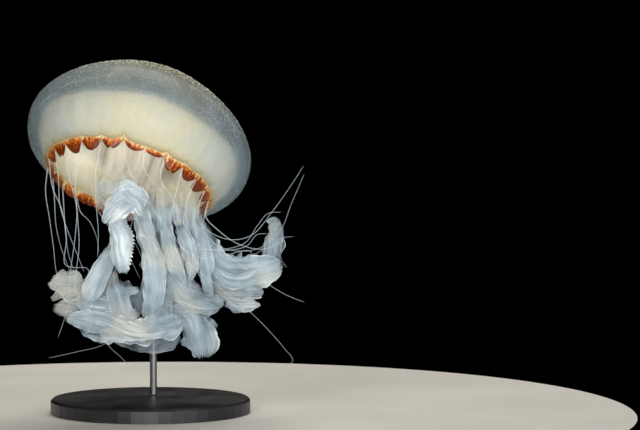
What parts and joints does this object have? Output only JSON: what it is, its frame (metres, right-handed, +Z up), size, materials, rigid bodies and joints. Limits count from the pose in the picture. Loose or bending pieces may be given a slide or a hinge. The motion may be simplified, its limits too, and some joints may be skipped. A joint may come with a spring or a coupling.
{
  "type": "sea nettle jellyfish",
  "caption": "Sea nettle jellyfish in a swimming pose on a stand: clear domed bell over a milky lining, orange lappets round the rim, frilled oral arms and long thin tentacles.",
  "frame": {"origin": "middle of the underside of the stand's base", "axes": "+Z up; the bell leans back and to the right, so its open underside and mouth face -Y; +X to the viewer's right"},
  "size_m": [0.1943, 0.1502, 0.2476],
  "materials": {
    "clear_jelly": "clear wet jelly, stippled with fine white warts",
    "milky_tissue": "milky cream tissue, half see-through at its edge",
    "orange_lappet": "orange-brown streaks on milky tissue",
    "white_tissue": "thin ruffled bluish-white membrane",
    "tentacle_tissue": "thin wet threads, pinkish at the root and clear white below",
    "satin_black": "satin black paint on steel",
    "satin_steel": "satin steel rod"
  },
  "bodies": {
    "root": {"bell_jelly": "clear_jelly", "bell_lining": "milky_tissue", "margin_lappets": "orange_lappet", "manubrium": "milky_tissue", "arm_left_end": "white_tissue", "arm_left_flap": "white_tissue", "arm_left_lower": "white_tissue", "arm_left_upper": "white_tissue", "arm_middle_lower": "white_tissue", "arm_middle_roll": "white_tissue", "arm_middle_upper": "white_tissue", "arm_rear_lower": "white_tissue", "arm_rear_pouch": "white_tissue", "arm_rear_upper": "white_tissue", "arm_right_finger": "white_tissue", "arm_right_sweep": "white_tissue", "arm_right_upper": "white_tissue", "tentacle_far_crossing_1": "tentacle_tissue", "tentacle_far_crossing_2": "tentacle_tissue", "tentacle_far_crossing_3": "tentacle_tissue", "tentacle_far_inner": "tentacle_tissue", "tentacle_far_left": "tentacle_tissue", "tentacle_far_middle": "tentacle_tissue", "tentacle_far_right": "tentacle_tissue", "tentacle_far_right_rising_1": "tentacle_tissue", "tentacle_far_right_rising_2": "tentacle_tissue", "tentacle_far_trailing_1": "tentacle_tissue", "tentacle_far_trailing_2": "tentacle_tissue", "tentacle_left_far": "tentacle_tissue", "tentacle_left_hooked_1": "tentacle_tissue", "tentacle_left_hooked_2": "tentacle_tissue", "tentacle_left_long_1": "tentacle_tissue", "tentacle_left_long_2": "tentacle_tissue", "tentacle_left_looped_1": "tentacle_tissue", "tentacle_left_looped_2": "tentacle_tissue", "tentacle_left_near_1": "tentacle_tissue", "tentacle_left_near_2": "tentacle_tissue", "tentacle_left_outer_1": "tentacle_tissue", "tentacle_left_outer_2": "tentacle_tissue", "tentacle_left_rear": "tentacle_tissue", "tentacle_near_left": "tentacle_tissue", "tentacle_near_longest_1": "tentacle_tissue", "tentacle_near_longest_2": "tentacle_tissue", "tentacle_near_longest_3": "tentacle_tissue", "tentacle_near_middle": "tentacle_tissue", "tentacle_near_sweeping_1": "tentacle_tissue", "tentacle_near_sweeping_2": "tentacle_tissue", "tentacle_right_bowed": "tentacle_tissue", "tentacle_right_crossing_1": "tentacle_tissue", "tentacle_right_crossing_2": "tentacle_tissue", "tentacle_right_curled_1": "tentacle_tissue", "tentacle_right_curled_2": "tentacle_tissue", "tentacle_right_hidden_1": "tentacle_tissue", "tentacle_right_hidden_2": "tentacle_tissue", "tentacle_right_near": "tentacle_tissue", "tentacle_right_rising_1": "tentacle_tissue", "tentacle_right_rising_2": "tentacle_tissue", "stand_base": "satin_black", "stand_rod": "satin_steel"}
  },
  "joints": []
}
